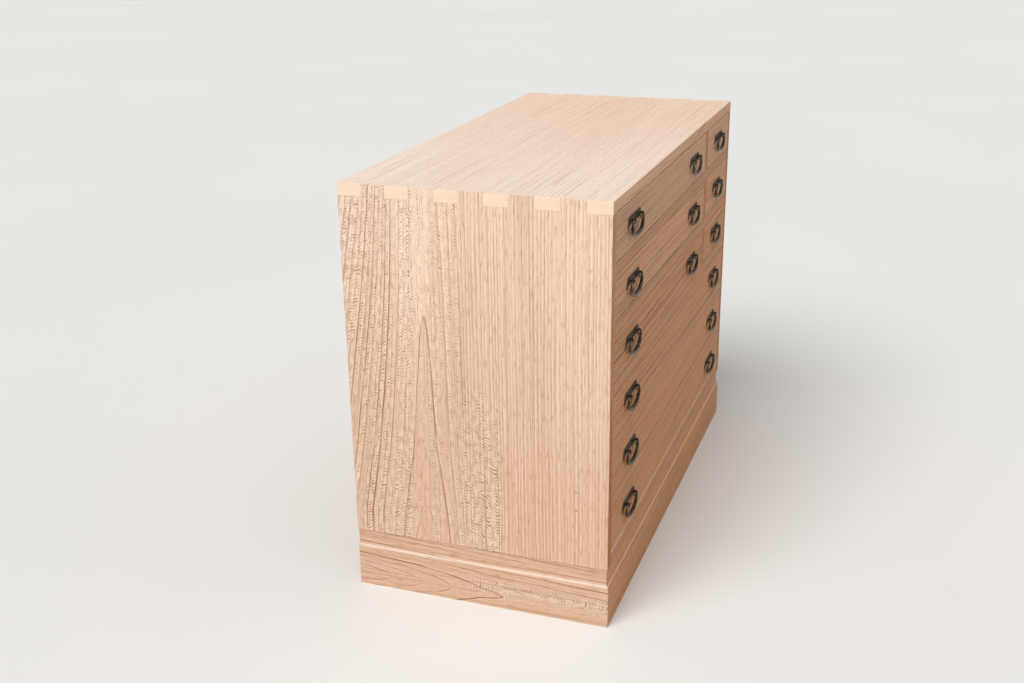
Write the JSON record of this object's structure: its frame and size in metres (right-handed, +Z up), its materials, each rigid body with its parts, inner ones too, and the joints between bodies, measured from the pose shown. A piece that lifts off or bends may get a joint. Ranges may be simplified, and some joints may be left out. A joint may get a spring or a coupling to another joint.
{
  "type": "clothing chest",
  "caption": "Low pale paulownia clothing chest: stacked full-width drawers under split rows, finger-jointed top, moulded plinth, swinging dark iron bail pulls.",
  "frame": {"origin": "on the floor under the middle of the case", "axes": "+X runs to the right along the front as seen by someone facing it, the front faces -Y, +Z is up"},
  "size_m": [0.954, 0.4645, 0.728],
  "materials": {
    "paulownia_case": "raw planed wood, open grain",
    "paulownia_fronts": "raw planed wood, straight grain",
    "paulownia_drawers": "raw planed wood",
    "dark_iron": "aged dark iron, slightly hammered"
  },
  "bodies": {
    "case": {"top_board": "paulownia_case", "left_side_panel": "paulownia_case", "right_side_panel": "paulownia_case", "shelf_1": "paulownia_case", "shelf_2": "paulownia_case", "shelf_3": "paulownia_case", "shelf_4": "paulownia_case", "shelf_5": "paulownia_case", "shelf_pegs": "paulownia_case", "dividers": "paulownia_case", "bottom_rail": "paulownia_case", "bottom_board": "paulownia_case", "back_panel": "paulownia_case", "plinth_front": "paulownia_case", "plinth_left": "paulownia_case", "plinth_right": "paulownia_case", "plinth_back": "paulownia_case"},
    "drawer_1_left": {"drawer_1_left_front": "paulownia_fronts", "drawer_1_left_box": "paulownia_drawers", "drawer_1_left_fixings": "dark_iron"},
    "bail_1_left": {"bail_1_left": "dark_iron"},
    "bail_1_middle": {"bail_1_middle": "dark_iron"},
    "drawer_1_right": {"drawer_1_right_front": "paulownia_fronts", "drawer_1_right_box": "paulownia_drawers", "drawer_1_right_fixings": "dark_iron"},
    "bail_1_right": {"bail_1_right": "dark_iron"},
    "drawer_2_left": {"drawer_2_left_front": "paulownia_fronts", "drawer_2_left_box": "paulownia_drawers", "drawer_2_left_fixings": "dark_iron"},
    "bail_2_left": {"bail_2_left": "dark_iron"},
    "bail_2_middle": {"bail_2_middle": "dark_iron"},
    "drawer_2_right": {"drawer_2_right_front": "paulownia_fronts", "drawer_2_right_box": "paulownia_drawers", "drawer_2_right_fixings": "dark_iron"},
    "bail_2_right": {"bail_2_right": "dark_iron"},
    "drawer_3_left": {"drawer_3_left_front": "paulownia_fronts", "drawer_3_left_box": "paulownia_drawers", "drawer_3_left_fixings": "dark_iron"},
    "bail_3_left": {"bail_3_left": "dark_iron"},
    "bail_3_middle": {"bail_3_middle": "dark_iron"},
    "drawer_3_right": {"drawer_3_right_front": "paulownia_fronts", "drawer_3_right_box": "paulownia_drawers", "drawer_3_right_fixings": "dark_iron"},
    "bail_3_right": {"bail_3_right": "dark_iron"},
    "drawer_4": {"drawer_4_front": "paulownia_fronts", "drawer_4_box": "paulownia_drawers", "drawer_4_fixings": "dark_iron"},
    "bail_4_left": {"bail_4_left": "dark_iron"},
    "bail_4_right": {"bail_4_right": "dark_iron"},
    "drawer_5": {"drawer_5_front": "paulownia_fronts", "drawer_5_box": "paulownia_drawers", "drawer_5_fixings": "dark_iron"},
    "bail_5_left": {"bail_5_left": "dark_iron"},
    "bail_5_right": {"bail_5_right": "dark_iron"},
    "drawer_6": {"drawer_6_front": "paulownia_fronts", "drawer_6_box": "paulownia_drawers", "drawer_6_fixings": "dark_iron"},
    "bail_6_left": {"bail_6_left": "dark_iron"},
    "bail_6_right": {"bail_6_right": "dark_iron"}
  },
  "joints": [
    {"name": "drawer_1_left_slide", "type": "slide", "parent": "case", "child": "drawer_1_left", "axis": [0, -1, 0], "range_m": [0, 0.36]},
    {"name": "bail_1_left_swing", "type": "hinge", "parent": "drawer_1_left", "child": "bail_1_left", "pos_m": [-0.3485, -0.2335, 0.675], "axis": [-1, 0, 0], "range_deg": [-5, 185]},
    {"name": "bail_1_middle_swing", "type": "hinge", "parent": "drawer_1_left", "child": "bail_1_middle", "pos_m": [0.1105, -0.2335, 0.675], "axis": [-1, 0, 0], "range_deg": [-5, 185]},
    {"name": "drawer_1_right_slide", "type": "slide", "parent": "case", "child": "drawer_1_right", "axis": [0, -1, 0], "range_m": [0, 0.36]},
    {"name": "bail_1_right_swing", "type": "hinge", "parent": "drawer_1_right", "child": "bail_1_right", "pos_m": [0.3485, -0.2335, 0.675], "axis": [-1, 0, 0], "range_deg": [-5, 185]},
    {"name": "drawer_2_left_slide", "type": "slide", "parent": "case", "child": "drawer_2_left", "axis": [0, -1, 0], "range_m": [0, 0.36]},
    {"name": "bail_2_left_swing", "type": "hinge", "parent": "drawer_2_left", "child": "bail_2_left", "pos_m": [-0.3485, -0.2335, 0.576], "axis": [-1, 0, 0], "range_deg": [-5, 185]},
    {"name": "bail_2_middle_swing", "type": "hinge", "parent": "drawer_2_left", "child": "bail_2_middle", "pos_m": [0.1105, -0.2335, 0.576], "axis": [-1, 0, 0], "range_deg": [-5, 185]},
    {"name": "drawer_2_right_slide", "type": "slide", "parent": "case", "child": "drawer_2_right", "axis": [0, -1, 0], "range_m": [0, 0.36]},
    {"name": "bail_2_right_swing", "type": "hinge", "parent": "drawer_2_right", "child": "bail_2_right", "pos_m": [0.3485, -0.2335, 0.576], "axis": [-1, 0, 0], "range_deg": [-5, 185]},
    {"name": "drawer_3_left_slide", "type": "slide", "parent": "case", "child": "drawer_3_left", "axis": [0, -1, 0], "range_m": [0, 0.36]},
    {"name": "bail_3_left_swing", "type": "hinge", "parent": "drawer_3_left", "child": "bail_3_left", "pos_m": [-0.3485, -0.2335, 0.477], "axis": [-1, 0, 0], "range_deg": [-5, 185]},
    {"name": "bail_3_middle_swing", "type": "hinge", "parent": "drawer_3_left", "child": "bail_3_middle", "pos_m": [0.1105, -0.2335, 0.477], "axis": [-1, 0, 0], "range_deg": [-5, 185]},
    {"name": "drawer_3_right_slide", "type": "slide", "parent": "case", "child": "drawer_3_right", "axis": [0, -1, 0], "range_m": [0, 0.36]},
    {"name": "bail_3_right_swing", "type": "hinge", "parent": "drawer_3_right", "child": "bail_3_right", "pos_m": [0.3485, -0.2335, 0.477], "axis": [-1, 0, 0], "range_deg": [-5, 185]},
    {"name": "drawer_4_slide", "type": "slide", "parent": "case", "child": "drawer_4", "axis": [0, -1, 0], "range_m": [0, 0.36]},
    {"name": "bail_4_left_swing", "type": "hinge", "parent": "drawer_4", "child": "bail_4_left", "pos_m": [-0.3485, -0.2335, 0.378], "axis": [-1, 0, 0], "range_deg": [-5, 185]},
    {"name": "bail_4_right_swing", "type": "hinge", "parent": "drawer_4", "child": "bail_4_right", "pos_m": [0.3485, -0.2335, 0.378], "axis": [-1, 0, 0], "range_deg": [-5, 185]},
    {"name": "drawer_5_slide", "type": "slide", "parent": "case", "child": "drawer_5", "axis": [0, -1, 0], "range_m": [0, 0.36]},
    {"name": "bail_5_left_swing", "type": "hinge", "parent": "drawer_5", "child": "bail_5_left", "pos_m": [-0.3485, -0.2335, 0.279], "axis": [-1, 0, 0], "range_deg": [-5, 185]},
    {"name": "bail_5_right_swing", "type": "hinge", "parent": "drawer_5", "child": "bail_5_right", "pos_m": [0.3485, -0.2335, 0.279], "axis": [-1, 0, 0], "range_deg": [-5, 185]},
    {"name": "drawer_6_slide", "type": "slide", "parent": "case", "child": "drawer_6", "axis": [0, -1, 0], "range_m": [0, 0.36]},
    {"name": "bail_6_left_swing", "type": "hinge", "parent": "drawer_6", "child": "bail_6_left", "pos_m": [-0.3485, -0.2335, 0.18], "axis": [-1, 0, 0], "range_deg": [-5, 185]},
    {"name": "bail_6_right_swing", "type": "hinge", "parent": "drawer_6", "child": "bail_6_right", "pos_m": [0.3485, -0.2335, 0.18], "axis": [-1, 0, 0], "range_deg": [-5, 185]}
  ]
}
